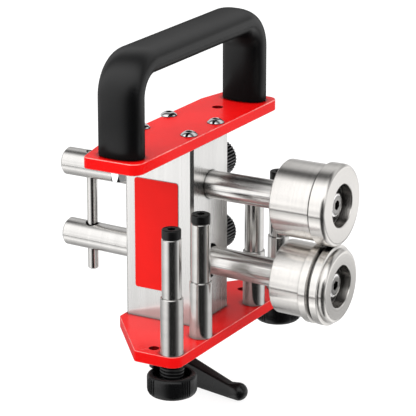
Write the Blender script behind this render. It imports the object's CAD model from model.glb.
"""Looks of a hand-pulled sheet metal edge bender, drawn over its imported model."""

import logging
import math
from dataclasses import dataclass, replace
from enum import Enum
from typing import Any, Callable, Sequence

import bmesh
import bpy
from mathutils import Matrix, Vector
from mathutils.bvhtree import BVHTree


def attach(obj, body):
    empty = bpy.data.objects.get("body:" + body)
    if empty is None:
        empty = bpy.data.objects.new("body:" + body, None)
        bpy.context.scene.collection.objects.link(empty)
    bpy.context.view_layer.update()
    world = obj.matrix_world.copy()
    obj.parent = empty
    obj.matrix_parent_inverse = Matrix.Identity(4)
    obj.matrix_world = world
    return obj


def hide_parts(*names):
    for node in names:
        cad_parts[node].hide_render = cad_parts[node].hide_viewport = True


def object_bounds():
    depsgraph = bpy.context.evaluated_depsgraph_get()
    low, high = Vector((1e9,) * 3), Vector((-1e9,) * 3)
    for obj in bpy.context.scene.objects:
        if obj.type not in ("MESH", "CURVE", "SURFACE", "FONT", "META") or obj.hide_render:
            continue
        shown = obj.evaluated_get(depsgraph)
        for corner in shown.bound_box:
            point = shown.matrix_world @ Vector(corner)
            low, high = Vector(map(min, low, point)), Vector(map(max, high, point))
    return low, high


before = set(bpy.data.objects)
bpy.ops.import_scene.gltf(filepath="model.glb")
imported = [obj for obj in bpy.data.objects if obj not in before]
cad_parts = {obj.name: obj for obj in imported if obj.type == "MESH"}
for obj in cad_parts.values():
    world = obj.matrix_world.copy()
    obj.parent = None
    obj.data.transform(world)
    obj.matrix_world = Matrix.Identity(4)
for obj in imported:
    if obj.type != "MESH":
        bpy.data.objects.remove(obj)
CAD_BOX = [list(corner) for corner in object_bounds()]
LOG = logging.getLogger("edge_bender")

MM = 0.001
# Places of the drawing, in millimetres: the plane of the handle, the grip's height over the
# base plate, the top plate's upper face and the two shafts; and the lower one's droop in radians
HANDLE_X = 7.4
GRIP_Z = 198.6
PLATE_TOP = 137.0
UPPER_Z = 97.8
LOWER_Z = 42.613
DROOP = math.radians(1.25)
# Least angle in radians of an edge that is rounded
SHARP = math.radians(32)
ORIGIN = (0.0, 0.0, 0.0)
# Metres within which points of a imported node, and of a drawn mesh, count as one
WELD = 3e-6
FINE_WELD = 1e-7
# Values between which most of a noise lies
NOISE_BAND = (0.3, 0.7)

Point = tuple[float, float]
Colour = tuple[float, float, float]
Socket = bpy.types.NodeSocket
Node = bpy.types.Node
Tree = bpy.types.NodeTree
Piece = bpy.types.Object
Mesh = bpy.types.Mesh


def spot(x: float, y: float, z: float) -> Vector:
    """Gives a point of the drawing, in millimetres from the block's middle and the base plate's top."""
    return Vector((x - HANDLE_X, y, z - GRIP_Z)) * MM


def shaft_frame(lower: bool) -> Matrix:
    """Gives the frame of a shaft, whose own X runs along it from the block's middle.

    Args:
        lower: True for the lower shaft, which droops towards its roller.

    Returns:
        The matrix from that frame, in millimetres, to the row's frame.
    """
    height = LOWER_Z if lower else UPPER_Z
    turn = Matrix.Rotation(DROOP, 4, "Y") if lower else Matrix.Identity(4)
    return Matrix.Translation(spot(0, 0, height)) @ turn @ Matrix.Scale(MM, 4)


class Run(Enum):
    """Direction in which a tool left its marks on a surface."""

    ROUND_X = (1.0, 0.03, 0.03)
    ROUND_Z = (0.03, 0.03, 1.0)
    ALONG_Z = (1.0, 1.0, 0.012)
    EVEN = (1.0, 1.0, 1.0)


# Node trees


class Graph:
    """Adds and links the nodes of one node tree."""

    def __init__(self, tree: Tree) -> None:
        """Starts on an empty or half-built tree."""
        self.tree = tree

    def add(self, kind: str, inputs: dict[str | int, Any] | None = None, **settings: Any) -> Node:
        """Adds a node.

        Args:
            kind: The node's type name.
            inputs: Values or output sockets, by the input's name or number.
            **settings: Attributes of the node itself.

        Returns:
            The new node.
        """
        node = self.tree.nodes.new(kind)
        for key, value in settings.items():
            setattr(node, key, value)
        for key, value in (inputs or {}).items():
            self.feed(node, key, value)
        node.location = (200 * (len(self.tree.nodes) % 12), -240 * (len(self.tree.nodes) // 12))
        return node

    def out(self, kind: str, inputs: dict[str | int, Any] | None = None, **settings: Any) -> Socket:
        """Adds a node as add does, and gives its first output."""
        return self.add(kind, inputs, **settings).outputs[0]

    def feed(self, node: Node, key: str | int, value: Any) -> None:
        """Links a socket to an input or sets the input's value.

        Args:
            node: The node to feed.
            key: The input's name or number.
            value: An output socket, or a plain value.
        """
        if isinstance(value, Socket):
            self.tree.links.new(value, node.inputs[key])
        else:
            node.inputs[key].default_value = value

    def sum(self, operation: str, a: Any, b: Any = 0.0, c: Any = 0.0, clamp: bool = False) -> Socket:
        """Works out one Math node of two or three values, kept between 0 and 1 with clamp."""
        kind = "ShaderNodeMath"
        return self.out(kind, {0: a, 1: b, 2: c}, operation=operation, use_clamp=clamp)

    def span(self, value: Any, low: float, high: float, to_low: float = 0.0, to_high: float = 1.0) -> Socket:
        """Moves a value smoothly from low and high to to_low and to_high."""
        inputs = {0: value, 1: low, 2: high, 3: to_low, 4: to_high}
        return self.out("ShaderNodeMapRange", inputs, interpolation_type="SMOOTHSTEP")

    def stops(self, value: Any, table: Sequence[tuple[float, float]]) -> Socket:
        """Looks a value up in a table of greys.

        Args:
            value: The value or socket, between 0 and 1.
            table: Pairs of place and grey, in rising order.

        Returns:
            The grey's socket.
        """
        ramp = self.add("ShaderNodeValToRGB", {0: value})
        marks = ramp.color_ramp.elements
        while len(marks) < len(table):
            marks.new(0.5)
        for mark, (place, grey) in zip(marks, table):
            mark.position = place
            mark.color = (grey, grey, grey, 1)
        return ramp.outputs[0]

    def blend(self, share: Any, a: Any, b: Any, mode: str = "MIX") -> Socket:
        """Blends a share of colour b into colour a by one of the Mix node's blend types."""
        inputs = {0: share, 6: rgba(a), 7: rgba(b)}
        return self.add("ShaderNodeMix", inputs, data_type="RGBA", blend_type=mode).outputs[2]

    def noise(self, vector: Any, scale: float, detail: float = 3.0, rough: float = 0.55) -> Socket:
        """Adds a noise texture of so many waves per metre."""
        inputs = {"Vector": vector, "Scale": scale, "Detail": detail, "Roughness": rough}
        return self.out("ShaderNodeTexNoise", inputs)


def rgba(value: Any) -> Any:
    """Gives a colour its alpha, and leaves a socket as it is."""
    return value if isinstance(value, Socket) or len(value) == 4 else (*value, 1.0)


def scaled(colour: Colour, share: float) -> Colour:
    """Gives a share of a colour."""
    return tuple(c * share for c in colour)


def open_tree(
    kind: str, name: str, inputs: dict[str, Any], outputs: dict[str, str]
) -> tuple[Graph, Any, Node]:
    """Starts a node group.

    Args:
        kind: Shader or Geometry.
        name: The group's name.
        inputs: Default value by name, or the word Object or Material, which have none.
        outputs: Socket kind by name.

    Returns:
        The graph, its input sockets and its output node.
    """
    tree = bpy.data.node_groups.new(name, kind + "NodeTree")
    kinds = {float: "Float", int: "Int", tuple: "Vector"}
    for label, value in inputs.items():
        word = kinds.get(type(value), value)
        socket = tree.interface.new_socket(label, in_out="INPUT", socket_type=f"NodeSocket{word}")
        if word is not value:
            socket.default_value = value
    for label, word in outputs.items():
        tree.interface.new_socket(label, in_out="OUTPUT", socket_type=f"NodeSocket{word}")
    graph = Graph(tree)
    return graph, graph.add("NodeGroupInput").outputs, graph.add("NodeGroupOutput")


class Effects:
    """Shader node groups that several finishes share, each built once."""

    @staticmethod
    def opened(name: str, inputs: dict[str, Any], *outputs: str) -> tuple[Graph, Any, Node] | None:
        """Starts a group, unless it is there already.

        Args:
            name: The group's name.
            inputs: Default values by name; a tuple makes a vector socket.
            *outputs: Names of the value outputs.

        Returns:
            The graph, its input sockets and its output node, or None.
        """
        if name in bpy.data.node_groups:
            return None
        return open_tree("Shader", name, inputs, dict.fromkeys(outputs, "Float"))

    @staticmethod
    def stretched_grain() -> Tree:
        """Grain that a stretch turns into brush or grinding lines.

        Returns:
            The group: Height for a bump and Tone for slow changes of shade.
        """
        name = "stretched_grain"
        inputs = {"Vector": ORIGIN, "Stretch": (1.0, 1.0, 1.0), "Scale": 900.0}
        made = Effects.opened(name, inputs, "Height", "Tone")
        if made:
            graph, given, result = made
            pulled = graph.out(
                "ShaderNodeVectorMath", {0: given["Vector"], 1: given["Stretch"]}, operation="MULTIPLY"
            )
            fine = graph.add("ShaderNodeTexNoise", {"Vector": pulled, "Scale": given["Scale"], "Detail": 5.0})
            slow = graph.sum("MULTIPLY", given["Scale"], 0.11)
            wide = graph.add("ShaderNodeTexNoise", {"Vector": pulled, "Scale": slow, "Detail": 2.0})
            graph.feed(result, "Height", fine.outputs[0])
            graph.feed(result, "Tone", wide.outputs[0])
        return bpy.data.node_groups[name]

    @staticmethod
    def turned_marks() -> Tree:
        """Rings that a lathe leaves round the X axis, on barrels and on end faces.

        Returns:
            The group: Height of the feed marks, Tone of wider bands, and Radius.
        """
        name = "turned_marks"
        made = Effects.opened(name, {"Vector": ORIGIN, "Pitch": 2600.0}, "Height", "Tone", "Radius")
        if made:
            graph, given, result = made
            axis = graph.add("ShaderNodeSeparateXYZ", {0: given["Vector"]}).outputs
            squares = [graph.sum("MULTIPLY", axis[i], axis[i]) for i in (1, 2)]
            radius = graph.sum("SQRT", graph.sum("ADD", *squares))
            run = graph.sum("MULTIPLY", graph.sum("ADD", axis[0], radius), given["Pitch"])
            for label, w in (("Height", run), ("Tone", graph.sum("MULTIPLY", run, 0.09))):
                inputs = {"W": w, "Scale": 1.0, "Detail": 2.0}
                graph.feed(result, label, graph.out("ShaderNodeTexNoise", inputs, noise_dimensions="1D"))
            graph.feed(result, "Radius", radius)
        return bpy.data.node_groups[name]

    @staticmethod
    def edge_wear() -> Tree:
        """Rubbed spots along the edges that a piece marks in its edge attribute.

        Returns:
            The group: Mask, from 0 on the untouched face to 1 where it is rubbed.
        """
        name = "edge_wear"
        inputs = {"Vector": ORIGIN, "Edge": 0.0, "Amount": 0.5, "Scale": 160.0}
        made = Effects.opened(name, inputs, "Mask")
        if made:
            graph, given, result = made
            spots = graph.out(
                "ShaderNodeTexNoise",
                {"Vector": given["Vector"], "Scale": given["Scale"], "Detail": 6.0, "Roughness": 0.7},
            )
            broken = graph.span(spots, 0.36, 0.68)
            mask = graph.sum("MULTIPLY", graph.sum("MULTIPLY", broken, given["Edge"]), given["Amount"])
            graph.feed(result, "Mask", mask)
        return bpy.data.node_groups[name]

    @staticmethod
    def handling_marks() -> Tree:
        """Soft smears of hands and a little dust.

        Returns:
            The group: Smear around 0, and Dust from 0 to 1.
        """
        name = "handling_marks"
        made = Effects.opened(name, {"Vector": ORIGIN, "Scale": 38.0, "Amount": 0.1}, "Smear", "Dust")
        if made:
            graph, given, result = made
            wide = graph.out(
                "ShaderNodeTexNoise",
                {"Vector": given["Vector"], "Scale": given["Scale"], "Detail": 4.0, "Distortion": 0.6},
            )
            smear = graph.sum("MULTIPLY", graph.sum("SUBTRACT", wide, 0.5), given["Amount"])
            specks = graph.out("ShaderNodeTexVoronoi", {"Vector": given["Vector"], "Scale": 520.0})
            near = graph.span(specks, 0.16, 0.03)
            graph.feed(result, "Smear", smear)
            graph.feed(result, "Dust", graph.sum("MULTIPLY", near, graph.span(wide, 0.5, 0.72)))
        return bpy.data.node_groups[name]


# Finishes


class Surface(Graph):
    """Graph of one material, with its Principled shader and its object coordinates."""

    def __init__(self, finish: "Finish", tree: Tree) -> None:
        """Starts the material with the finish's plain values.

        Args:
            finish: The finish.
            tree: The material's tree, which is emptied.
        """
        super().__init__(tree)
        tree.nodes.clear()
        self.shader = self.add(
            "ShaderNodeBsdfPrincipled",
            {
                "Base Color": rgba(finish.colour),
                "Roughness": finish.roughness,
                "Metallic": finish.metallic,
                "Coat Roughness": finish.coat_roughness,
                "Specular IOR Level": finish.shine,
            },
        )
        self.add("ShaderNodeOutputMaterial", {0: self.shader.outputs[0]})
        self.place = self.add("ShaderNodeTexCoord").outputs["Object"]

    def set(self, label: str, value: Any) -> None:
        """Feeds a value or socket to an input of the shader."""
        self.feed(self.shader, label, value)

    def edge(self) -> Socket:
        """Gives what a piece keeps in its edge attribute."""
        return self.add("ShaderNodeAttribute", attribute_name="edge").outputs["Fac"]

    def way(self) -> Any:
        """Gives the three parts of the surface's direction."""
        normal = self.add("ShaderNodeNewGeometry").outputs["Normal"]
        return self.add("ShaderNodeSeparateXYZ", {0: normal}).outputs

    def group(self, tree: Tree, inputs: dict[str, Any]) -> Any:
        """Places a shared effect, by the object coordinates unless the inputs hold a Vector."""
        return self.add("ShaderNodeGroup", {"Vector": self.place, **inputs}, node_tree=tree).outputs

    def worn(self, edge: Any, amount: float, scale: float) -> Socket:
        """Gives the mask of rubbed spots, from 0 to 1, along the marked edges."""
        inputs = {"Edge": edge, "Amount": amount, "Scale": scale}
        return self.group(Effects.edge_wear(), inputs)["Mask"]

    def smudge(self, amount: float, base: Any) -> Any:
        """Lays smears of hands on the roughness.

        Args:
            amount: How strong the smears are.
            base: The roughness under the smears, as a value or socket.

        Returns:
            The outputs of the marks: Smear and Dust.
        """
        hands = self.group(Effects.handling_marks(), {"Amount": amount})
        self.set("Roughness", self.sum("ADD", hands["Smear"], base, clamp=True))
        return hands

    def crevices(self, colour: Any, reach: float, darkest: float, start: float = 0.25) -> Socket:
        """Darkens a colour in narrow corners and holes.

        Args:
            colour: Socket of the colour.
            reach: How far in metres another surface counts as near.
            darkest: Share of the colour that is left in the deepest corner.
            start: Share of free sky at which that corner is reached.

        Returns:
            Socket of the darker colour.
        """
        free = self.add("ShaderNodeAmbientOcclusion", {"Distance": reach}, samples=8).outputs["AO"]
        share = self.span(free, start, 0.97, darkest, 1.0)
        grey = self.out("ShaderNodeCombineColor", {0: share, 1: share, 2: share})
        return self.blend(1.0, colour, grey, "MULTIPLY")

    def bump(self, height: Any, depth: float, strength: float) -> None:
        """Raises a height on the surface, by a depth in metres and a share of the effect."""
        inputs = {"Height": height, "Distance": depth, "Strength": strength}
        self.set("Normal", self.out("ShaderNodeBump", inputs))


@dataclass(frozen=True)
class Finish:
    """A plain surface, which the kinds below it dress further."""

    name: str
    slot: str
    colour: Colour
    roughness: float
    metallic: float = 0.0
    coat_roughness: float = 0.1
    shine: float = 0.5
    smear: float = 0.08

    def material(self) -> bpy.types.Material:
        """Builds the material, or finds it if it is there already.

        Returns:
            The finished material.
        """
        label = "finish_" + self.name
        if label not in bpy.data.materials:
            made = bpy.data.materials.new(label)
            made.use_nodes = True
            self.dress(Surface(self, made.node_tree))
        return bpy.data.materials[label]

    def dress(self, on: Surface) -> None:
        """Adds what makes this finish its own."""
        on.smudge(self.smear, self.roughness)


@dataclass(frozen=True)
class Enamel(Finish):
    """Stoved red enamel, with a faint orange peel and lighter edges."""

    edge_colour: Colour = (1.0, 0.26, 0.22)
    edge_amount: float = 0.95
    edge_coat: float = 0.85
    coat_ior: float = 2.4
    dust: Colour = (0.75, 0.5, 0.46)
    dust_amount: float = 0.03
    mirrored: float = 0.2
    mirror: Colour = (0.42, 0.36, 0.35)
    crevice: float = 0.12
    crevice_reach: float = 0.005
    crevice_start: float = 0.42

    def dress(self, on: Surface) -> None:
        """Adds shade, worn edges and the peel of the paint.

        Args:
            on: The material's surface.
        """
        shade = on.span(on.noise(on.place, scale=21.0, detail=3.0), *NOISE_BAND)
        body = on.blend(shade, scaled(self.colour, 0.9), self.colour)
        edge = on.edge()
        worn = on.worn(edge, self.edge_amount, scale=60.0)
        hands = on.smudge(self.smear, self.roughness)
        lit = on.blend(worn, body, self.edge_colour)
        dusty = on.blend(on.sum("MULTIPLY", hands["Dust"], self.dust_amount), lit, self.dust)
        plain = on.crevices(dusty, self.crevice_reach, self.crevice, self.crevice_start)
        on.set("Coat Weight", on.sum("MULTIPLY", edge, self.edge_coat))
        on.set("Coat IOR", self.coat_ior)
        glint = on.add("ShaderNodeLightPath").outputs["Is Glossy Ray"]
        dim = on.blend(1.0 - self.mirrored, plain, self.mirror)
        on.set("Base Color", on.blend(glint, plain, dim))
        peel = on.noise(on.place, scale=480.0, detail=2.0, rough=0.4)
        on.bump(peel, depth=0.00012, strength=0.16)


@dataclass(frozen=True)
class Moulded(Finish):
    """Moulded plastic or rubber skin with a fine grain."""

    grain: float = 2600.0
    depth: float = 0.00006
    strength: float = 0.35
    rim: float = 0.12
    pale: Colour = (0.10, 0.102, 0.105)
    edge_amount: float = 0.25
    rubbed: float = 0.0
    gaps: bool = False

    def dress(self, on: Surface) -> None:
        """Adds the grain, rubbed edges and smears.

        Args:
            on: The material's surface.
        """
        cells = on.out("ShaderNodeTexVoronoi", {"Vector": on.place, "Scale": self.grain})
        soft = on.noise(on.place, scale=self.grain * 0.4, detail=3.0)
        height = on.sum("ADD", on.sum("MULTIPLY", cells, 0.5), soft)
        edge = on.edge()
        worn = on.worn(edge, self.edge_amount, scale=240.0)
        waves = on.noise(on.place, scale=30.0, detail=4.0)
        shade = on.span(waves, *NOISE_BAND, to_high=0.25)
        body = on.blend(shade, self.colour, scaled(self.colour, 1.5))
        colour = on.blend(worn, body, self.pale)
        facing = on.add("ShaderNodeLayerWeight", {"Blend": 0.5}).outputs["Facing"]
        shine = on.span(facing, 0.55, 0.97, self.shine, self.shine * self.rim)
        if self.rubbed or self.gaps:
            side = on.way()
            top = on.span(side[2], 0.1, 0.95, 1.0, 1.0 + self.rubbed)
            shine = on.sum("MULTIPLY", shine, top)
        if self.gaps:
            crest = on.sum("MAXIMUM", edge, on.sum("ABSOLUTE", side[1]))
            share = on.span(crest, 0.1, 0.9, 0.03, 1.0)
            colour = on.blend(share, ORIGIN, colour)
            shine = on.sum("MULTIPLY", shine, share)
        on.set("Base Color", colour)
        on.set("Specular IOR Level", shine)
        on.smudge(self.smear, on.span(facing, 0.5, 0.97, self.roughness, self.roughness + 0.3))
        on.bump(height, self.depth, self.strength)


@dataclass(frozen=True)
class Drawn(Finish):
    """Metal with straight or round tool marks: brushed, ground or polished."""

    run: Run = Run.EVEN
    grain: float = 900.0
    depth: float = 0.00002
    strength: float = 0.3
    tone: float = 0.1
    roughness_swing: float = 0.08
    stretch: float = 0.0
    tint: Colour = (0.9, 0.9, 0.9)
    reach: float = 0.007
    tail: float = 0.0
    tail_span: Point = (-0.041, -0.0365)
    rubbed: float = 0.35

    def dress(self, on: Surface) -> None:
        """Adds the marks to colour, roughness and height.

        Args:
            on: The material's surface.
        """
        inputs = {"Stretch": self.run.value, "Scale": self.grain}
        lines = on.group(Effects.stretched_grain(), inputs)
        share = on.span(lines["Tone"], *NOISE_BAND)
        worn = on.worn(on.edge(), self.rubbed, scale=300.0)
        plain = on.blend(share, scaled(self.colour, 1 - self.tone), self.colour)
        lit = on.blend(worn, plain, self.tint)
        on.set("Base Color", on.crevices(lit, self.reach, darkest=0.35))
        half = self.roughness_swing / 2
        swing = on.span(lines["Height"], *NOISE_BAND, -half, half)
        if self.stretch:
            across = [round(v) + 0.004 for v in self.run.value]
            if self.run is Run.ALONG_Z:
                across = (1.0, 0.9, 0.01)
            on.set("Anisotropic", self.stretch)
            on.set("Tangent", on.out("ShaderNodeCombineXYZ", dict(enumerate(across))))
        base = on.sum("ADD", swing, self.roughness)
        if self.tail:
            along = on.out("ShaderNodeSeparateXYZ", {0: on.place})
            base = on.sum("ADD", base, on.span(along, *self.tail_span, self.tail, 0.0))
        on.smudge(self.smear, base)
        on.bump(lines["Height"], self.depth, self.strength)


@dataclass(frozen=True)
class Turned(Finish):
    """Steel turned on a lathe round one of the two shafts."""

    lower: bool = False
    pitch: float = 4200.0
    depth: float = 0.000006
    strength: float = 0.3
    tone: float = 0.05
    stretch: float = 0.92
    recess: float = 0.42
    face_stretch: float = 0.3
    cup: Point = (0.0152, 0.0146)
    crevice_reach: float = 0.0036
    crevice: float = 0.05

    def dress(self, on: Surface) -> None:
        """Adds the feed marks to colour, roughness and height.

        Args:
            on: The material's surface.
        """
        centre = spot(0, 0, LOWER_Z if self.lower else UPPER_Z)
        turn = (0.0, -DROOP if self.lower else 0.0, 0.0)
        moved = on.out("ShaderNodeVectorMath", {0: on.place, 1: -centre}, operation="ADD")
        local = on.out("ShaderNodeMapping", {"Vector": moved, "Rotation": turn})
        rings = on.group(Effects.turned_marks(), {"Vector": local, "Pitch": self.pitch})
        share = on.span(rings["Tone"], *NOISE_BAND)
        cup = on.span(rings["Radius"], *self.cup)
        barrel = on.blend(share, scaled(self.colour, 1 - self.tone), self.colour)
        turned = on.blend(cup, barrel, scaled(self.colour, self.recess))
        on.set("Base Color", on.crevices(turned, self.crevice_reach, self.crevice))
        ahead = on.way()[0]
        on.set("Anisotropic", on.span(ahead, 0.8, 0.99, self.stretch, self.face_stretch))
        tangent = on.add("ShaderNodeTangent", direction_type="UV_MAP", uv_map="UVMap")
        on.set("Tangent", tangent.outputs[0])
        rough = on.span(rings["Tone"], 0.2, 0.8, self.roughness * 0.92, self.roughness * 1.1)
        on.smudge(self.smear, rough)
        on.bump(rings["Height"], self.depth, self.strength)


RED = (0.86, 0.005, 0.005)
BLACK = (0.003, 0.0031, 0.0034)
RED_ENAMEL = Enamel("red_enamel", "red_paint", RED, 0.24, shine=0.1, smear=0.06)
TOP_ENAMEL = replace(RED_ENAMEL, name="top_enamel", mirrored=0.06, mirror=(0.09, 0.085, 0.08))
LABEL_FILM = Enamel("label_film", "label", (0.86, 0.011, 0.008), 0.4, shine=0.2, edge_amount=0.4)
GRIP_SKIN = Moulded(
    "grip_skin", "grip_rubber", (0.002, 0.0021, 0.0024), 0.34,
    shine=0.31, rubbed=0.95, grain=2200.0, strength=0.3, smear=0.06,
)
KNOB_PLASTIC = Moulded("knob_plastic", "black_plastic", BLACK, 0.27, shine=0.4, grain=3200.0, smear=0.08)
KNOB_RIBS = replace(
    KNOB_PLASTIC, name="knob_ribs", roughness=0.3, shine=0.5,
    pale=(0.15, 0.15, 0.155), edge_amount=0.95, gaps=True,
)
CAP_STEEL = Moulded(
    "cap_steel", "dark_steel", (0.003, 0.003, 0.0033), 0.28,
    shine=0.34, grain=2600.0, pale=(0.16, 0.16, 0.16), edge_amount=0.4,
)
BRUSHED_BLOCK = Drawn(
    "brushed_block", "block", (0.84, 0.83, 0.815), 0.26, 1.0, run=Run.ALONG_Z,
    grain=1100.0, tone=0.06, smear=0.03, strength=0.03, roughness_swing=0.03, stretch=0.6, reach=0.0025,
)
GROUND_SHAFT = Drawn(
    "ground_shaft", "ground_steel", (0.76, 0.745, 0.725), 0.19, 1.0, run=Run.ROUND_X, grain=1500.0,
    tone=0.06, smear=0.05, depth=0.000002, roughness_swing=0.02, stretch=0.8, strength=0.1, tail=0.07,
)
GROUND_PIN = replace(GROUND_SHAFT, name="ground_pin", roughness=0.16, run=Run.ROUND_Z, tail=0.0)
ZINC = Drawn(
    "zinc", "zinc", (0.92, 0.925, 0.93), 0.09, 1.0, grain=600.0, tone=0.05, depth=0.000003, smear=0.03,
)
DARK_STEEL = Drawn("dark_steel", "dark_steel", (0.10, 0.10, 0.105), 0.34, 1.0, grain=700.0, tone=0.2)
BRONZE = Drawn("bronze", "bronze", (0.58, 0.40, 0.20), 0.3, 1.0, grain=900.0, tone=0.15)
BEARING = Drawn("bearing", "bearing_steel", (0.24, 0.235, 0.23), 0.3, 1.0, grain=500.0, strength=0.04)
SCREW_STEEL = Drawn(
    "screw_steel", "zinc", (0.34, 0.33, 0.32), 0.2, 1.0,
    grain=600.0, strength=0.05, rubbed=3.0, tint=(0.97, 0.96, 0.95),
)
UPPER_TURNED = Turned("upper_turned", "turned_steel", (0.83, 0.805, 0.775), 0.22, 1.0, smear=0.03)
LOWER_TURNED = replace(UPPER_TURNED, name="lower_turned", lower=True)


# Mesh workshop


def settle(piece: Piece) -> None:
    """Turns a piece's modifiers into plain mesh.

    Args:
        piece: The object, whose modifiers are removed.
    """
    depsgraph = bpy.context.evaluated_depsgraph_get()
    mesh = bpy.data.meshes.new_from_object(
        piece.evaluated_get(depsgraph), preserve_all_data_layers=True, depsgraph=depsgraph
    )
    mesh.name = piece.name
    piece.modifiers.clear()
    piece.data = mesh


def new_piece(name: str, mesh: Mesh) -> Piece:
    """Puts a mesh into the scene.

    Args:
        name: The piece's name.
        mesh: Its mesh.

    Returns:
        The piece.
    """
    piece = bpy.data.objects.new(name, mesh)
    bpy.context.scene.collection.objects.link(piece)
    return piece


def whole_mesh(name: str, shape: bmesh.types.BMesh) -> Mesh:
    """Makes a mesh of a shape.

    Args:
        name: The mesh's name.
        shape: The shape, which is freed.

    Returns:
        The mesh.
    """
    mesh = bpy.data.meshes.new(name)
    shape.to_mesh(mesh)
    shape.free()
    return mesh


def mark_edges(mesh: Mesh, rubbed: Callable[[Any], bool]) -> None:
    """Keeps in the edge attribute which faces hands and work rub bright.

    Args:
        mesh: The mesh.
        rubbed: Tells whether a face is one of them.
    """
    values = [0.0] * len(mesh.loops)
    for face in mesh.polygons:
        for loop in face.loop_indices:
            values[loop] = float(rubbed(face))
    mesh.attributes.new("edge", "FLOAT", "CORNER").data.foreach_set("value", values)


def straighten_flats(piece: Piece, weight: int, keep_sharp: bool = False) -> None:
    """Gives flat faces straight normals and settles the piece.

    Args:
        piece: The object.
        weight: How much larger faces count for more.
        keep_sharp: Whether sharp edges stay sharp.
    """
    flats = piece.modifiers.new("flats", "WEIGHTED_NORMAL")
    flats.weight = weight
    flats.keep_sharp = keep_sharp
    settle(piece)


def dress_piece(piece: Piece, finish: Finish, body: str, *nodes: str) -> Piece:
    """Gives a piece its finish, its body and the nodes that it stands for.

    Args:
        piece: The finished object.
        finish: Its finish.
        body: The body that it rides on.
        *nodes: Nodes that it replaces.

    Returns:
        The same piece.
    """
    piece.data.materials.clear()
    piece.data.materials.append(finish.material())
    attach(piece, body)
    if nodes:
        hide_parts(*nodes)
    LOG.info("%s: %d faces on %s", piece.name, len(piece.data.polygons), body)
    return piece


def dress_nodes(finish: Finish, *nodes: str) -> None:
    """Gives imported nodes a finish.

    Args:
        finish: The finish.
        *nodes: Their names.
    """
    for name in nodes:
        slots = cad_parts[name].data.materials
        slots.clear()
        slots.append(finish.material())
        LOG.info("%s: node in %s", name, finish.name)


def merged_copy(node: str, name: str, flatten: bool = True) -> Piece:
    """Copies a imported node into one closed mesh.

    Args:
        node: The node's name.
        name: The copy's name.
        flatten: Whether flat faces are joined into single ones.

    Returns:
        The copy.
    """
    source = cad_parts[node].data
    mesh = bpy.data.meshes.new(name)
    mesh.from_pydata([v.co[:] for v in source.vertices], [], [p.vertices[:] for p in source.polygons])
    shape = bmesh.new()
    shape.from_mesh(mesh)
    bmesh.ops.remove_doubles(shape, verts=shape.verts, dist=WELD)
    bmesh.ops.dissolve_degenerate(shape, edges=shape.edges, dist=2e-6)
    if flatten:
        bmesh.ops.dissolve_limit(shape, angle_limit=math.radians(0.4), verts=shape.verts, edges=shape.edges)
    for face in shape.faces:
        face.smooth = True
    shape.to_mesh(mesh)
    shape.free()
    return new_piece(name, mesh)


def weigh_outline(mesh: Mesh) -> None:
    """Gives a bevel weight to the sharp edges of a plate, apart from the rims of holes.

    Args:
        mesh: The mesh, where a ray from beside a hole's rim soon meets the hole's far wall.
    """
    inset, lift, reach = 0.1 * MM, 0.3 * MM, 14 * MM
    shape = bmesh.new()
    shape.from_mesh(mesh)
    shape.normal_update()
    walls = BVHTree.FromBMesh(shape)
    layer = shape.edges.layers.float.new("bevel_weight_edge")
    for edge in shape.edges:
        if len(edge.link_faces) != 2 or edge.calc_face_angle() < SHARP:
            continue
        ways = [face.normal for face in edge.link_faces]
        start = (edge.verts[0].co + edge.verts[1].co) / 2 - sum(ways, Vector()) * inset
        hits = [walls.ray_cast(start + way * lift, way, reach)[0] for way in ways]
        edge[layer] = float(all(hit is None for hit in hits))
    shape.to_mesh(mesh)
    shape.free()


def outer_loop(mesh: Mesh, height: float) -> list[Vector]:
    """Gives the outer outline of a plate at one height.

    Args:
        mesh: The plate's mesh.
        height: Height in metres of the face whose outline is wanted.

    Returns:
        The corners in order, in two dimensions.
    """
    upright, level = 0.5, 1e-6
    ahead: dict[int, int] = {}
    for face in mesh.polygons:
        if abs(face.normal.z) < upright:
            ring = face.vertices[:]
            for a, b in zip(ring, ring[1:] + ring[:1]):
                if all(abs(mesh.vertices[i].co.z - height) < level for i in (a, b)):
                    ahead[a] = b
    loops = []
    while ahead:
        start = here = min(ahead)
        loop = []
        while here in ahead:
            loop.append(mesh.vertices[here].co.xy)
            here = ahead.pop(here)
        if here == start:
            loops.append([Vector(p) for p in loop])
    return max(loops, key=lambda loop: sum((p - loop[0]).length for p in loop) / len(loop))


def shrunk(outline: Sequence[Vector], inset: float) -> list[Vector]:
    """Moves an outline inwards.

    Args:
        outline: Corners in order, in two dimensions.
        inset: How far in metres.

    Returns:
        The moved corners.
    """
    count = len(outline)
    area = sum(outline[i - 1].cross(outline[i]) for i in range(count))
    side = math.copysign(1.0, area)
    result = []
    for i, here in enumerate(outline):
        back = (here - outline[i - 1]).normalized()
        ahead = (outline[(i + 1) % count] - here).normalized()
        inward = (back.orthogonal() + ahead.orthogonal()).normalized() * side
        share = max(0.5, inward.dot(ahead.orthogonal() * side))
        result.append(here + inward * (inset / share))
    return result


def round_edges(piece: Piece, width: float, segments: int = 3, holes: bool = True) -> None:
    """Rounds the sharp edges of a piece and marks them for wear.

    Args:
        piece: The object.
        width: Width of the rounding in millimetres.
        segments: Steps of the rounding.
        holes: Whether the rims of holes are rounded too.
    """
    mark = 1
    for _ in range(mark + 1):
        piece.data.materials.append(None)
    bevel = piece.modifiers.new("edges", "BEVEL")
    bevel.width = width * MM
    bevel.segments = segments
    bevel.limit_method = "ANGLE" if holes else "WEIGHT"
    bevel.angle_limit = SHARP
    bevel.material = mark
    bevel.use_clamp_overlap = True
    if not holes:
        weigh_outline(piece.data)
    straighten_flats(piece, weight=80, keep_sharp=True)
    mark_edges(piece.data, lambda face: face.material_index == mark)
    for face in piece.data.polygons:
        face.material_index = 0


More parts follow.
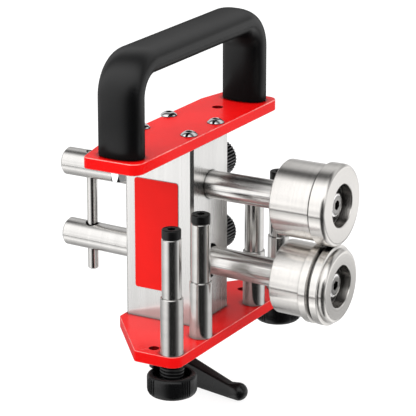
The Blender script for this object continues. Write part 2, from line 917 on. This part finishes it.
def smooth_by_angle(piece: Piece, angle: float) -> None:
    """Shades a piece smooth, apart from edges sharper than an angle in degrees."""
    piece.data.shade_smooth()
    piece.data.set_sharp_from_angle(angle=math.radians(angle))


def grid_mesh(name: str, rings: Sequence[Sequence[Vector]], endless: bool = False) -> Mesh:
    """Joins rows of points into one mesh.

    Args:
        name: The mesh's name.
        rings: Rows with the same number of points.
        endless: Whether the last row joins the first; else a face closes each end.

    Returns:
        The mesh, whose faces point outwards.
    """
    count = len(rings[0])
    shape = bmesh.new()
    rows = [[shape.verts.new(p) for p in ring] for ring in rings]
    pairs = list(zip(rows, rows[1:])) + ([(rows[-1], rows[0])] if endless else [])
    sheet = shape.loops.layers.uv.new("UVMap")
    for row, (a, b) in enumerate(pairs):
        for i in range(count):
            j = (i + 1) % count
            face = shape.faces.new((a[i], a[j], b[j], b[i]))
            for loop, (u, v) in zip(face.loops, ((i, row), (i + 1, row), (i + 1, row + 1), (i, row + 1))):
                loop[sheet].uv = (u / count, v / len(pairs))
    if not endless:
        shape.faces.new(rows[0])
        shape.faces.new(rows[-1])
    bmesh.ops.remove_doubles(shape, verts=shape.verts, dist=FINE_WELD)
    bmesh.ops.dissolve_degenerate(shape, edges=shape.edges, dist=FINE_WELD)
    bmesh.ops.recalc_face_normals(shape, faces=shape.faces)
    for face in shape.faces:
        face.smooth = True
    return whole_mesh(name, shape)


def filleted(outline: Sequence[Point], radius: float | Sequence[float], steps: int = 4) -> list[Point]:
    """Rounds the corners of a closed outline.

    Args:
        outline: The corners in order.
        radius: One radius for all corners, or one for each.
        steps: Points of each round.

    Returns:
        The rounded outline.
    """
    straight, most = math.radians(80), 0.45
    count = len(outline)
    radii = [radius] * count if isinstance(radius, (int, float)) else list(radius)
    result: list[Point] = []
    for i, corner in enumerate(outline):
        here = Vector(corner)
        back = Vector(outline[i - 1]) - here
        ahead = Vector(outline[(i + 1) % count]) - here
        half = back.angle(ahead) / 2
        if radii[i] <= 0 or half > straight:
            result.append(corner)
            continue
        reach = min(radii[i] / math.tan(half), back.length * most, ahead.length * most)
        r = reach * math.tan(half)
        centre = here + (back.normalized() + ahead.normalized()).normalized() * (r / math.sin(half))
        start = here + back.normalized() * reach - centre
        end = here + ahead.normalized() * reach - centre
        turn = start.angle_signed(end)
        for k in range(steps + 1):
            a = -turn * k / steps
            c, s = math.cos(a), math.sin(a)
            p = centre + Vector((start.x * c - start.y * s, start.x * s + start.y * c))
            result.append((p.x, p.y))
    return result


def lathe(name: str, outline: Sequence[Point], home: Matrix, steps: int) -> Piece:
    """Turns a closed outline round the X axis of a frame.

    Args:
        name: The piece's name.
        outline: Pairs of place along X and radius, in millimetres.
        home: Frame of the axis.
        steps: Steps of the full turn.

    Returns:
        The piece.
    """
    rings = []
    for i in range(steps):
        a = 2 * math.pi * i / steps
        rings.append([home @ Vector((x, r * math.cos(a), r * math.sin(a))) for x, r in outline])
    piece = new_piece(name, grid_mesh(name, rings, endless=True))
    straighten_flats(piece, weight=70)
    return piece


def socket_head(profile: Sequence[Point], flats: float, deep: float, steps: int = 72) -> Mesh:
    """Makes a screw head with a hexagon socket, standing on z = 0 in millimetres.

    Args:
        profile: Pairs of radius and height from the foot to just outside the socket.
        flats: Width of the socket across its flats.
        deep: Depth of the socket.
        steps: Steps of the full turn.

    Returns:
        The mesh.
    """
    angles = [2 * math.pi * i / steps for i in range(steps)]
    chamfer, point = 0.22, 0.15
    top = profile[-1][1]
    rings = [[Vector((r * math.cos(a), r * math.sin(a), z)) for a in angles] for r, z in profile]
    for grow, z in ((chamfer, top), (0.0, top - chamfer), (0.0, top - deep), (-0.2, top - deep - point)):
        ring = []
        for a in angles:
            r = (flats / 2 + grow) / math.cos((a % (math.pi / 3)) - math.pi / 6)
            ring.append(Vector((r * math.cos(a), r * math.sin(a), z)))
        rings.append(ring)
    mesh = grid_mesh("socket_head", rings)
    mesh.set_sharp_from_angle(angle=math.radians(38))
    return mesh


class Repeater:
    """Builds and runs the Geometry Nodes trees that repeat a shape."""

    @staticmethod
    def tree(name: str, inputs: dict[str, Any]) -> tuple[Graph, Any, Node]:
        """Starts a tree with named inputs and a material, and gives its graph, inputs and output node."""
        return open_tree("Geometry", name, {**inputs, "Material": "Material"}, {"Geometry": "Geometry"})

    @staticmethod
    def close(graph: Graph, geometry: Any, given: Any, result: Any) -> None:
        """Ends a tree in real meshes with the given material.

        Args:
            graph: The tree's graph.
            geometry: The geometry's socket.
            given: The tree's input sockets, of which one is Material.
            result: The tree's output node.
        """
        real = graph.out("GeometryNodeRealizeInstances", {0: geometry})
        done = graph.add("GeometryNodeSetMaterial", {"Geometry": real, "Material": given["Material"]})
        graph.feed(result, 0, done.outputs[0])

    @staticmethod
    def run(name: str, tree: Tree, values: dict[str, Any]) -> Piece:
        """Makes a piece from a tree.

        Args:
            name: The piece's name.
            tree: The tree.
            values: Values of its named inputs.

        Returns:
            The piece as plain mesh.
        """
        piece = new_piece(name, bpy.data.meshes.new(name))
        modifier = piece.modifiers.new("shape", "NODES")
        modifier.node_group = tree
        for item in tree.interface.items_tree:
            if item.item_type == "SOCKET" and item.in_out == "INPUT" and item.name in values:
                modifier[item.identifier] = values[item.name]
        settle(piece)
        return piece


# Sub-assemblies


@dataclass
class Housing:
    """Block, the two red plates and the bare label plate."""

    plate_edge: float = 0.55
    plate_steps: int = 4
    plate_thick: float = 8.0
    rim_slopes: Point = (0.08, 0.995)
    hanging: tuple[float, float, float] = (2.0, 55.0, 4.0)
    drill_long: float = 30.0
    block_edge: float = 0.35
    label_edge: float = 0.12

    def build(self) -> None:
        """Makes the four rounded pieces and dresses the hidden ones."""
        self.rounded("base_plate", "enamelled", RED_ENAMEL, self.plate_edge, holes=False)
        self.top_plate()
        self.rounded("block", "brushed", BRUSHED_BLOCK, self.block_edge)
        self.rounded("label_plate", "bare", LABEL_FILM, self.label_edge, segments=2)
        dress_nodes(BRONZE, "upper_bush", "swivel_block")
        dress_nodes(GROUND_SHAFT, "pivot_pins")

    def rounded(self, node: str, word: str, finish: Finish, width: float, **options: Any) -> None:
        """Replaces a node by a copy with rounded edges.

        Args:
            node: The node's name.
            word: Word that the copy's name adds to it.
            finish: The copy's finish.
            width: Width of the rounding in millimetres.
            **options: Further options of round_edges.
        """
        piece = merged_copy(node, f"{node}_{word}")
        round_edges(piece, width, **options)
        dress_piece(piece, finish, "tool_frame", node)

    def top_plate(self) -> None:
        """Draws the top plate over its packed outline, with the hanging hole cut through."""
        flat = merged_copy("top_plate", "top_plate_flat")
        heights = [v.co.z for v in flat.data.vertices]
        low, high = min(heights), max(heights)
        outline = outer_loop(flat.data, high)
        bpy.data.objects.remove(flat)
        w = self.plate_edge * MM
        foot = []
        for k in range(self.plate_steps + 1):
            a = math.pi / 2 * k / self.plate_steps
            z = low + w * (1 - math.cos(a))
            foot.append([Vector((*p, z)) for p in shrunk(outline, w * (1 - math.sin(a)))])
        top = [[Vector((p.x, p.y, low + high - p.z)) for p in ring] for ring in reversed(foot)]
        piece = new_piece("top_plate_enamelled", grid_mesh("top_plate_enamelled", foot + top))
        self.cut_hole(piece)
        piece.data.set_sharp_from_angle(angle=math.radians(50))
        flattest, steepest = self.rim_slopes
        mark_edges(piece.data, lambda face: flattest < abs(face.normal.z) < steepest)
        dress_piece(piece, TOP_ENAMEL, "tool_frame", "top_plate")

    def cut_hole(self, piece: Piece) -> None:
        """Cuts the hanging hole through the top plate.

        Args:
            piece: The plate, which is settled after the cut.
        """
        x, y, r = self.hanging
        drill = bmesh.new()
        size = {"radius1": r * MM, "radius2": r * MM, "depth": self.drill_long * MM}
        bmesh.ops.create_cone(drill, cap_ends=True, segments=48, **size)
        drill.transform(Matrix.Translation(spot(x, y, PLATE_TOP - self.plate_thick / 2)))
        bit = new_piece("drill", whole_mesh("drill", drill))
        hole = piece.modifiers.new("hole", "BOOLEAN")
        hole.operation = "DIFFERENCE"
        hole.object = bit
        hole.solver = "EXACT"
        straighten_flats(piece, weight=80)
        bpy.data.objects.remove(bit)


@dataclass
class HandleBow:
    """Black bow over the top plate, with its two studs and nuts."""

    wide: float = 33.4
    thick: float = 19.4
    bend: float = 21.5
    span: float = 170.0
    foot_gap: float = 0.02
    power: float = 2.4
    around: int = 72
    bend_steps: int = 22
    foot_round: float = 1.1
    foot_step: float = 0.3
    foot_step_share: float = 0.42

    def section(self, shrink: float) -> list[Point]:
        """Gives the rounded square of the grip.

        Args:
            shrink: How much smaller each half width is, in millimetres.

        Returns:
            Points across and through the grip.
        """
        result = []
        for i in range(self.around):
            t = 2 * math.pi * i / self.around
            c, s = math.cos(t), math.sin(t)
            a, b = self.wide / 2 - shrink, self.thick / 2 - shrink
            across = a * math.copysign(abs(c) ** (2 / self.power), c)
            through = b * math.copysign(abs(s) ** (2 / self.power), s)
            result.append((across, through))
        return result

    def path(self) -> list[tuple[float, float, float, float]]:
        """Gives the middle line of the bow.

        Returns:
            Place across, height, direction of the line in radians, and shrink of the section.
        """
        half, top, r = self.span / 2, GRIP_Z, self.foot_round
        low = PLATE_TOP + self.foot_gap
        step, shrunk_by = self.foot_step, r * self.foot_step_share
        foot = ((low, r), (low + step, shrunk_by), (low + r, 0.0), (top - self.bend, 0.0))
        line = [(-half, z, math.pi / 2, shrink) for z, shrink in foot]
        for i in range(1, self.bend_steps + 1):
            a = math.pi / 2 * i / self.bend_steps
            y = -half + self.bend * (1 - math.cos(a))
            line.append((y, top - self.bend + self.bend * math.sin(a), math.pi / 2 - a, 0.0))
        return line + [(-y, z, -turn, shrink) for y, z, turn, shrink in reversed(line)]

    def build(self) -> None:
        """Sweeps the grip's section along the bow."""
        rings = []
        for y, z, turn, shrink in self.path():
            out = Vector((0, -math.sin(turn), math.cos(turn)))
            section = self.section(shrink)
            rings.append([spot(HANDLE_X + a, y + out.y * b, z + out.z * b) for a, b in section])
        bow = new_piece("grip_bow", grid_mesh("grip_bow", rings))
        smooth_by_angle(bow, 50)
        dress_piece(bow, GRIP_SKIN, "tool_frame", "handle_bow")
        dress_nodes(ZINC, "handle_studs", "handle_nuts")


@dataclass
class RollerSet:
    """The two profiled rollers with their shafts, screws and bearings."""

    start: float = 87.2
    length: float = 42.8
    bore: float = 12.0
    seat: float = 14.0
    seat_deep: float = 7.4
    recess: float = 15.0
    recess_deep: float = 8.0
    lower_radii: tuple[float, float, float] = (26.0, 28.3, 26.1)
    upper_radii: Point = (26.6, 28.7)
    groove_x: float = 37.7
    groove_deep: float = 2.2
    nose_round: float = 3.2
    edge: float = 0.3
    bearing_long: float = 7.0
    recess_rim: float = 0.5
    screw_foot: float = 122.2
    screw_rim: Point = (7.0, 2.8)
    groove_steps: tuple[float, float, float] = (0.7, 1.1, 1.8)
    nose_steps: int = 10
    tail_edge: float = 1.0
    lower_ring: Point = (24.0, 29.2)
    lower_valley: tuple[float, float, float] = (30.9, 32.6, 2.8)
    upper_gutter: tuple[float, float, float, float] = (29.9, 30.0, 31.3, 2.6)

    def nose(self, ring: float, disc: float) -> list[Point]:
        """Gives the outline of the disc at a roller's front end.

        Args:
            ring: Radius of the ring behind the disc, which a groove parts if it is larger.
            disc: Radius of the disc.

        Returns:
            Pairs of place and radius, down to the bore's front seat.
        """
        x, end, r, rim = self.groove_x, self.length, self.nose_round, self.recess_rim
        floor = ring - self.groove_deep
        fall, rise, top = self.groove_steps
        groove = [(x, ring), (x + fall, floor), (x + rise, floor), (x + top, disc)]
        arc = [math.pi / 2 * k / self.nose_steps for k in range(self.nose_steps + 1)]
        front = end - self.recess_deep
        back = front - self.bearing_long
        return [
            *(groove if ring > disc else ()),
            *((end - r + r * math.sin(a), disc - r + r * math.cos(a)) for a in arc),
            (end, self.recess + rim), (end - rim, self.recess), (front, self.recess), (front, self.seat),
            (back, self.seat), (back, self.bore), (self.seat_deep, self.bore), (self.seat_deep, self.seat),
            (0.0, self.seat),
        ]

    def outline(self, lower: bool) -> list[Point]:
        """Gives a roller's whole outline.

        Args:
            lower: True for the roller with two rings.

        Returns:
            Pairs of place along the shaft and radius.
        """
        c = self.tail_edge
        if lower:
            r, f, disc = self.lower_radii
            start, end = self.lower_ring
            middle, far, deep = self.lower_valley
            body = [(0.0, r - c), (c, r), (start, r), (start, f), (end, f), (middle, f - deep), (far, f)]
            return body + self.nose(f, disc)
        r, f = self.upper_radii
        brink, start, end, deep = self.upper_gutter
        body = [(0.0, r - c), (c, r), (brink, r), (start, r - deep), (end, r - deep), (end, f)]
        return body + self.nose(f, f)

    def build(self) -> None:
        """Turns the rollers and dresses the shafts."""
        for lower, finish, word in ((False, UPPER_TURNED, "upper"), (True, LOWER_TURNED, "lower")):
            outline = filleted(self.outline(lower), self.edge)
            home = shaft_frame(lower) @ Matrix.Translation((self.start, 0, 0))
            piece = lathe(f"{word}_roller_turned", outline, home, steps=192)
            dress_piece(piece, finish, f"{word}_roller", f"{word}_roller")
            self.end_screw(word, lower)
            dress_nodes(GROUND_SHAFT, f"{word}_shaft")
            dress_nodes(DARK_STEEL, f"{word}_bearing_spacer")
            dress_nodes(BEARING, f"{word}_roller_bearings")
        dress_nodes(GROUND_PIN, "coupling_rod")

    def end_screw(self, word: str, lower: bool) -> None:
        """Makes the flat screw head in a roller's recess.

        Args:
            word: The roller's word, upper or lower.
            lower: True for the lower shaft.
        """
        profile = [(8.7, 0.0), (8.7, 2.8), (8.45, 3.25), (7.9, 3.6), (6.6, 3.8), (5.2, 3.8)]
        mesh = socket_head(profile, flats=6.0, deep=3.0)
        wide, high = self.screw_rim
        mark_edges(mesh, lambda face: face.center.xy.length > wide and face.center.z > high)
        foot = Matrix.Translation((self.screw_foot, 0, 0))
        mesh.transform(shaft_frame(lower) @ foot @ Matrix.Rotation(math.pi / 2, 4, "Y"))
        piece = new_piece(f"{word}_end_screw_head", mesh)
        dress_piece(piece, SCREW_STEEL, f"{word}_carriage", f"{word}_end_screw")


@dataclass
class GuidePins:
    """Four guide pins: fixed sleeves, turning tubes and black cap screws."""

    places: tuple[Point, ...] = ((40.8, -77.0), (41.4, -38.4), (41.4, 38.4), (40.8, 77.0))
    cap_radius: float = 6.65
    cap_foot: float = 82.8
    cap_high: float = 6.4

    def build(self) -> None:
        """Makes the caps and dresses the rest."""
        tubes = [f"{side}_{row}_tube" for side in ("near", "far") for row in ("outer", "inner")]
        dress_nodes(GROUND_PIN, "guide_sleeves", *tubes)
        r, h = self.cap_radius, self.cap_high
        insets = (
            (0.25, 0.0), (0.0, 0.25), (0.0, h - 0.9), (0.12, h - 0.45), (0.45, h - 0.12), (0.9, h),
            (1.5, h), (1.75, h - 0.18), (2.0, h - 0.18),
        )
        profile = [(r - inset, z) for inset, z in insets]
        caps = bmesh.new()
        for x, y in self.places:
            mesh = socket_head(profile, flats=5.0, deep=3.2)
            mesh.transform(Matrix.Translation(spot(x, y, self.cap_foot)) @ Matrix.Scale(MM, 4))
            caps.from_mesh(mesh)
        piece = new_piece("guide_caps", whole_mesh("guide_caps", caps))
        smooth_by_angle(piece, 38)
        dress_piece(piece, CAP_STEEL, "tool_frame", "guide_screws")


@dataclass
class ButtonScrews:
    """Four bright button screws on the top plate, set out by Geometry Nodes."""

    middle: Point = (1.8, 0.0)
    apart: Point = (38.2, 37.2)
    radius: float = 5.9
    high: float = 3.4
    foot: float = 0.5
    foot_edge: float = 0.2
    mouth: float = 3.1
    dome_steps: int = 8
    seed: int = 3

    def head(self) -> Piece:
        """Makes one domed head, on the row's origin.

        Returns:
            The head.
        """
        r, foot, cut, steps = self.radius, self.foot, self.foot_edge, self.dome_steps
        rise = self.high - foot
        dome = (r * r + rise * rise) / (2 * rise)
        profile = [(r - cut, 0.0), (r, cut), (r, foot)]
        for k in range(1, steps + 1):
            q = r - (r - self.mouth) * k / steps
            profile.append((q, self.high - dome + math.sqrt(dome * dome - q * q)))
        mesh = socket_head(profile, flats=4.0, deep=2.0)
        mesh.transform(Matrix.Scale(MM, 4))
        return new_piece("button_head", mesh)

    def build(self) -> None:
        """Instances the head on a grid of two by two."""
        inputs = {"Head": "Object", "Middle": ORIGIN, "Apart X": 0.04, "Apart Y": 0.04, "Seed": self.seed}
        graph, given, result = Repeater.tree("screw_grid", inputs)
        inputs = {"Size X": given["Apart X"], "Size Y": given["Apart Y"], "Vertices X": 2, "Vertices Y": 2}
        grid = graph.out("GeometryNodeMeshGrid", inputs)
        moved = graph.out("GeometryNodeTransform", {"Geometry": grid, "Translation": given["Middle"]})
        shape = graph.add("GeometryNodeObjectInfo", {"Object": given["Head"]}).outputs["Geometry"]
        angle = graph.add(
            "FunctionNodeRandomValue", {2: 0.0, 3: 1.0, "Seed": given["Seed"]}, data_type="FLOAT"
        ).outputs[1]
        turn = graph.out("ShaderNodeCombineXYZ", {2: angle})
        inputs = {"Points": moved, "Instance": shape, "Rotation": turn}
        laid = graph.out("GeometryNodeInstanceOnPoints", inputs)
        Repeater.close(graph, laid, given, result)
        head = self.head()
        values = {
            "Head": head, "Middle": spot(*self.middle, PLATE_TOP), "Apart X": self.apart[0] * MM,
            "Apart Y": self.apart[1] * MM, "Seed": self.seed, "Material": ZINC.material(),
        }
        piece = Repeater.run("button_screws", graph.tree, values)
        bpy.data.objects.remove(head)
        smooth_by_angle(piece, 38)
        dress_piece(piece, ZINC, "tool_frame", "top_screws")


@dataclass
class LockKnobs:
    """Two ribbed lock knobs on the far side of the block."""

    radius: float = 13.75
    start: float = 46.0
    length: float = 18.0
    ribs: int = 36
    rib_wide: float = 1.0
    rib_sunk_share: float = 0.66
    rib_short: float = 3.0
    neck: float = 7.5
    foot: float = 38.2
    dish: tuple[float, float, float] = (8.0, 7.4, 1.5)
    rounds: tuple[float, ...] = (0, 0.6, 0.4, 1.6, 1.8, 0.5, 0.3, 0)

    def tree(self) -> Tree:
        """Builds the tree that sets ribs round a core.

        Returns:
            The tree.
        """
        inputs = {"Core": "Object", "Ribs": 36, "Radius": 0.013, "Rib Radius": 0.0006, "Rib Length": 0.015}
        graph, given, result = Repeater.tree("ribbed_ring", {**inputs, "Home": ORIGIN})
        inputs = {"Vertices": given["Ribs"], "Radius": given["Radius"]}
        circle = graph.out("GeometryNodeMeshCircle", inputs)
        inputs = {"Vertices": 8, "Radius": given["Rib Radius"], "Depth": given["Rib Length"]}
        rib = graph.out("GeometryNodeMeshCylinder", inputs)
        inputs = {"Geometry": rib, "Name": "edge", "Value": 1.0}
        rubbed = graph.out("GeometryNodeStoreNamedAttribute", inputs, data_type="FLOAT")
        ring = graph.out("GeometryNodeInstanceOnPoints", {"Points": circle, "Instance": rubbed})
        stood = graph.out(
            "GeometryNodeTransform",
            {"Geometry": ring, "Rotation": (math.pi / 2, 0.0, 0.0), "Translation": given["Home"]},
        )
        core = graph.add("GeometryNodeObjectInfo", {"Object": given["Core"]}).outputs["Geometry"]
        joined = graph.add("GeometryNodeJoinGeometry")
        graph.feed(joined, 0, stood)
        graph.feed(joined, 0, core)
        Repeater.close(graph, joined.outputs[0], given, result)
        return graph.tree

    def build(self) -> None:
        """Makes both knobs."""
        tree = self.tree()
        core_r = self.radius - self.rib_wide * self.rib_sunk_share
        end = self.start + self.length
        wide, narrow, deep = self.dish
        for word, height in (("upper", UPPER_Z), ("lower", LOWER_Z)):
            outline = [
                (self.foot, 0.0), (self.foot, self.neck), (self.start, self.neck), (self.start, core_r),
                (end, core_r), (end, wide), (end - deep, narrow), (end - deep, 0.0),
            ]
            turn = Matrix.Rotation(math.pi / 2, 4, "Z")
            home = Matrix.Translation(spot(0, 0, height)) @ turn @ Matrix.Scale(MM, 4)
            core = lathe(word + "_knob_core", filleted(outline, self.rounds), home, steps=96)
            values = {
                "Core": core, "Ribs": self.ribs, "Radius": (self.radius - self.rib_wide / 2) * MM,
                "Rib Radius": self.rib_wide / 2 * MM,
                "Rib Length": (self.length - self.rib_short) * MM,
                "Home": spot(0, self.start + self.length / 2, height),
                "Material": KNOB_RIBS.material(),
            }
            piece = Repeater.run(word + "_knob_ribbed", tree, values)
            bpy.data.objects.remove(core)
            smooth_by_angle(piece, 50)
            dress_piece(piece, KNOB_RIBS, word + "_lock", word + "_lock_knob")
        dress_nodes(BRONZE, "upper_pressure_pad", "lower_pressure_pad")


@dataclass
class Underside:
    """Hand nuts, threaded necks, clamp lever and the small parts under the base plate."""

    neck_places: tuple[Point, ...] = ((40.8, -77.0), (40.8, 77.0))
    neck_lengths: tuple[float, ...] = (18.3, 13.5)
    neck_radius: float = 8.6
    pitch: float = 2.4
    crest_share: float = 0.42
    base_thick: float = 8.0

    def thread_tree(self) -> Tree:
        """Builds the tree that winds a thread round a core.

        Returns:
            The tree.
        """
        inputs = {"Radius": 0.008, "Crest": 0.0007, "Length": 0.018, "Turns": 8.0, "Foot": ORIGIN}
        graph, given, result = Repeater.tree("wound_thread", inputs)
        radius, height = given["Radius"], given["Length"]
        inputs = {"Resolution": 40, "Rotations": given["Turns"], "Start Radius": radius, "End Radius": radius}
        path = graph.out("GeometryNodeCurveSpiral", {**inputs, "Height": height})
        upright = graph.out("GeometryNodeSetCurveNormal", {0: path}, mode="Z_UP")
        inputs = {"Resolution": 6, "Radius": given["Crest"]}
        crest = graph.out("GeometryNodeCurvePrimitiveCircle", inputs)
        ridge = graph.out("GeometryNodeCurveToMesh", {0: upright, 1: crest, "Fill Caps": True})
        inputs = {"Vertices": 64, "Radius": radius, "Depth": height}
        core = graph.out("GeometryNodeMeshCylinder", inputs)
        half = graph.out("ShaderNodeCombineXYZ", {2: graph.sum("MULTIPLY", height, 0.5)})
        lifted = graph.out("GeometryNodeTransform", {"Geometry": core, "Translation": half})
        joined = graph.add("GeometryNodeJoinGeometry")
        graph.feed(joined, 0, ridge)
        graph.feed(joined, 0, lifted)
        placed = graph.out(
            "GeometryNodeTransform", {"Geometry": joined.outputs[0], "Translation": given["Foot"]}
        )
        Repeater.close(graph, placed, given, result)
        return graph.tree

    def build(self) -> None:
        """Makes the threads, the rounded nuts and the lever."""
        tree = self.thread_tree()
        crest = self.pitch * self.crest_share
        for (x, y), length, word in zip(self.neck_places, self.neck_lengths, ("near", "far")):
            tall = length - 2 * crest
            values = {
                "Radius": (self.neck_radius - crest) * MM, "Crest": crest * MM, "Length": tall * MM,
                "Turns": tall / self.pitch, "Material": KNOB_PLASTIC.material(),
                "Foot": spot(x, y, -self.base_thick - length + crest),
            }
            piece = Repeater.run(word + "_neck_thread", tree, values)
            smooth_by_angle(piece, 60)
            nodes = ("threaded_necks",) if word == "near" else ()
            dress_piece(piece, KNOB_PLASTIC, "tool_frame", *nodes)
            nut = merged_copy(word + "_hand_nut", word + "_hand_nut_moulded")
            smooth_by_angle(nut, 30)
            dress_piece(nut, KNOB_PLASTIC, word + "_nut", word + "_hand_nut")
        lever = merged_copy("clamp_lever", "clamp_lever_moulded", flatten=False)
        smooth_by_angle(lever, 38)
        dress_piece(lever, KNOB_PLASTIC, "lever", "clamp_lever")
        dress_nodes(ZINC, "lever_insert", "thrust_washer")
        dress_nodes(DARK_STEEL, "lever_clip", "base_screws", "stop_screws")
        dress_nodes(GROUND_PIN, "lift_plunger")


# Studio


# What the metal mirrors. The low walls pair degrees round the room with brightness, and the high
# walls degrees up from the front and over it. The dark panel pairs degrees round the room with
# its share, and the floor the height of the look, from -1 to 0, with a share of the low walls
LOW_WALLS = (
    (-180, 0.9), (-160, 1.15), (-140, 1.6), (-120, 1.62), (-108, 1.35), (-97, 0.8), (-87, 0.4), (-77, 0.1),
    (-66, 0.02), (-52, 0.01), (-38, 0.02), (-27, 0.07), (-15, 0.15), (-2, 0.28), (10, 0.65), (22, 1.15),
    (34, 1.35), (48, 1.3), (64, 1.25), (88, 0.95), (118, 0.6), (150, 0.65), (180, 0.9),
)
HIGH_WALLS = (
    (-180, 0.9), (-90, 0.5), (0, 1.05), (10, 1.2), (20, 1.35), (60, 1.4), (66, 1.3), (72, 1.02), (81, 0.55),
    (90, 0.17), (99, 0.08), (105, 0.16), (111, 0.36), (119, 0.6), (133, 0.72), (146, 0.6), (163, 0.38),
    (180, 0.9),
)
DARK_PANEL = ((-92, 0.0), (-76, 1.0), (-38, 1.0), (-16, 0.0))
FLOOR_BANDS = (
    (-1, 0.5), (-0.9, 0.55), (-0.84, 0.62), (-0.78, 0.55), (-0.72, 0.9), (-0.65, 0.92), (-0.56, 0.75),
    (-0.5, 0.62), (-0.43, 0.55), (-0.41, 0.12), (-0.372, 0.08), (-0.345, 0.6), (-0.32, 0.95), (-0.295, 0.95),
    (-0.26, 0.72), (-0.16, 0.74), (-0.08, 0.88), (0.0, 0.95),
)


@dataclass
class Studio:
    """Camera, pale floor, soft lamps and the room that the metal mirrors."""

    lens: float = 200.42
    eye: tuple[float, float, float] = (0.781234, -1.344646, 0.376471)
    tilt: float = 0.309947
    pan: float = 0.516329
    aim: tuple[float, float, float] = (0.02, 0.0, -0.1)
    fill_side: float = 1.7
    fill_top: float = 0.9
    fill_band: Point = (0.25, 0.75)
    wall_band: Point = (-0.05, 0.2)
    panel_band: Point = (0.28, 0.5)
    panel_grey: float = 0.02
    floor_drop: float = 0.0003
    floor_half: float = 6.0
    floor_grey: float = 0.3
    floor_seen: float = 0.26
    floor_glow: float = 0.84

    def build(self) -> None:
        """Sets up the whole stage."""
        self.camera()
        self.room()
        self.floor()
        self.lamp("key", (-0.75, -0.85, 0.95), size=0.9, power=10.0)
        self.lamp("side", (1.1, -0.25, 0.75), size=0.8, power=5.0)

    def camera(self) -> None:
        """Makes the camera of the photograph."""
        data = bpy.data.cameras.new("camera")
        data.sensor_fit = "HORIZONTAL"
        data.sensor_width = 36.0
        data.lens = self.lens
        data.clip_end = 10.0
        eye = bpy.data.objects.new("camera", data)
        eye.location = self.eye
        eye.rotation_euler = (math.pi / 2 - self.tilt, 0.0, self.pan)
        bpy.context.scene.collection.objects.link(eye)
        bpy.context.scene.camera = eye

    def lamp(self, name: str, place: tuple[float, float, float], size: float, power: float) -> None:
        """Hangs one soft lamp that points at the block.

        Args:
            name: The lamp's name.
            place: Its place in metres.
            size: Its side in metres.
            power: Its power in watts.
        """
        data = bpy.data.lights.new(name, "AREA")
        data.shape = "SQUARE"
        data.size = size
        data.energy = power
        data.use_shadow = True
        lamp = bpy.data.objects.new(name, data)
        lamp.location = place
        lamp.rotation_mode = "QUATERNION"
        lamp.rotation_quaternion = (Vector(place) - Vector(self.aim)).to_track_quat("Z", "Y")
        lamp.visible_glossy = False
        bpy.context.scene.collection.objects.link(lamp)

    def room(self) -> None:
        """Builds the world: white to the eye, with soft boxes and dark corners in mirrors."""
        world = bpy.data.worlds.new("studio")
        bpy.context.scene.world = world
        world.use_nodes = True
        world.cycles.sampling_method = "NONE"
        world.node_tree.nodes.clear()
        graph = Graph(world.node_tree)
        way = graph.add("ShaderNodeTexCoord").outputs["Generated"]
        axis = graph.add("ShaderNodeSeparateXYZ", {0: way}).outputs
        turn = 1 / (2 * math.pi)
        around = graph.sum("MULTIPLY_ADD", graph.sum("ARCTAN2", axis[1], axis[0]), turn, 0.5)
        back = graph.sum("MULTIPLY", axis[1], -1.0)
        over = graph.sum("MULTIPLY_ADD", graph.sum("ARCTAN2", axis[2], back), turn, 0.5)
        low, high, panel = (
            graph.stops(angle, [((a + 180) / 360, v) for a, v in table])
            for angle, table in ((around, LOW_WALLS), (over, HIGH_WALLS), (around, DARK_PANEL))
        )
        height = graph.sum("MULTIPLY_ADD", axis[2], 0.5, 0.5)
        depth = graph.stops(height, [((z + 1) / 2, v) for z, v in FLOOR_BANDS])
        lower = graph.blend(1.0, low, depth, "MULTIPLY")
        mirror = graph.blend(graph.span(axis[2], *self.wall_band), lower, high)
        shade = graph.sum("MULTIPLY", panel, graph.span(axis[2], *self.panel_band, 1.0, 0.0))
        mirror = graph.blend(shade, mirror, (self.panel_grey,) * 3)
        light = graph.add("ShaderNodeLightPath").outputs
        shiny = graph.sum("MAXIMUM", light["Is Glossy Ray"], light["Is Transmission Ray"])
        soft = graph.span(axis[2], *self.fill_band, self.fill_side, self.fill_top)
        grey = graph.out("ShaderNodeCombineColor", {0: soft, 1: soft, 2: soft})
        shown = graph.blend(shiny, grey, mirror)
        final = graph.blend(light["Is Camera Ray"], shown, (1.0, 1.0, 1.0))
        back_light = graph.add("ShaderNodeBackground", {0: final, 1: 1.0})
        graph.add("ShaderNodeOutputWorld", {0: back_light.outputs[0]})

    def floor(self) -> None:
        """Lays the pale floor, which keeps the object's shadow."""
        low = CAD_BOX[0][2] - self.floor_drop
        mesh = bpy.data.meshes.new("floor")
        s = self.floor_half
        mesh.from_pydata([(-s, -s, low), (s, -s, low), (s, s, low), (-s, s, low)], [], [(0, 1, 2, 3)])
        floor = new_piece("floor", mesh)
        material = bpy.data.materials.new("floor_white")
        material.use_nodes = True
        material.node_tree.nodes.clear()
        graph = Graph(material.node_tree)
        plain, faint = (
            graph.out("ShaderNodeBsdfDiffuse", {"Color": (grey, grey, grey, 1)})
            for grey in (self.floor_grey, self.floor_seen)
        )
        glow = graph.out("ShaderNodeEmission", {"Color": (1, 1, 1, 1), "Strength": self.floor_glow})
        seen = graph.out("ShaderNodeAddShader", {0: faint, 1: glow})
        light = graph.add("ShaderNodeLightPath").outputs
        mixed = graph.out("ShaderNodeMixShader", {0: light["Is Camera Ray"], 1: plain, 2: seen})
        graph.add("ShaderNodeOutputMaterial", {0: mixed})
        mesh.materials.append(material)
        floor.visible_glossy = False


def main() -> None:
    """Builds every sub-assembly in order."""
    logging.basicConfig(level=logging.INFO, format="%(name)s: %(message)s")
    scene = bpy.context.scene
    scene.view_settings.view_transform = "Standard"
    kinds = (Studio, Housing, HandleBow, RollerSet, GuidePins, ButtonScrews, LockKnobs, Underside)
    for kind in kinds:
        kind().build()
        LOG.info("%s built", kind.__name__)


if __name__ == "__main__":
    main()
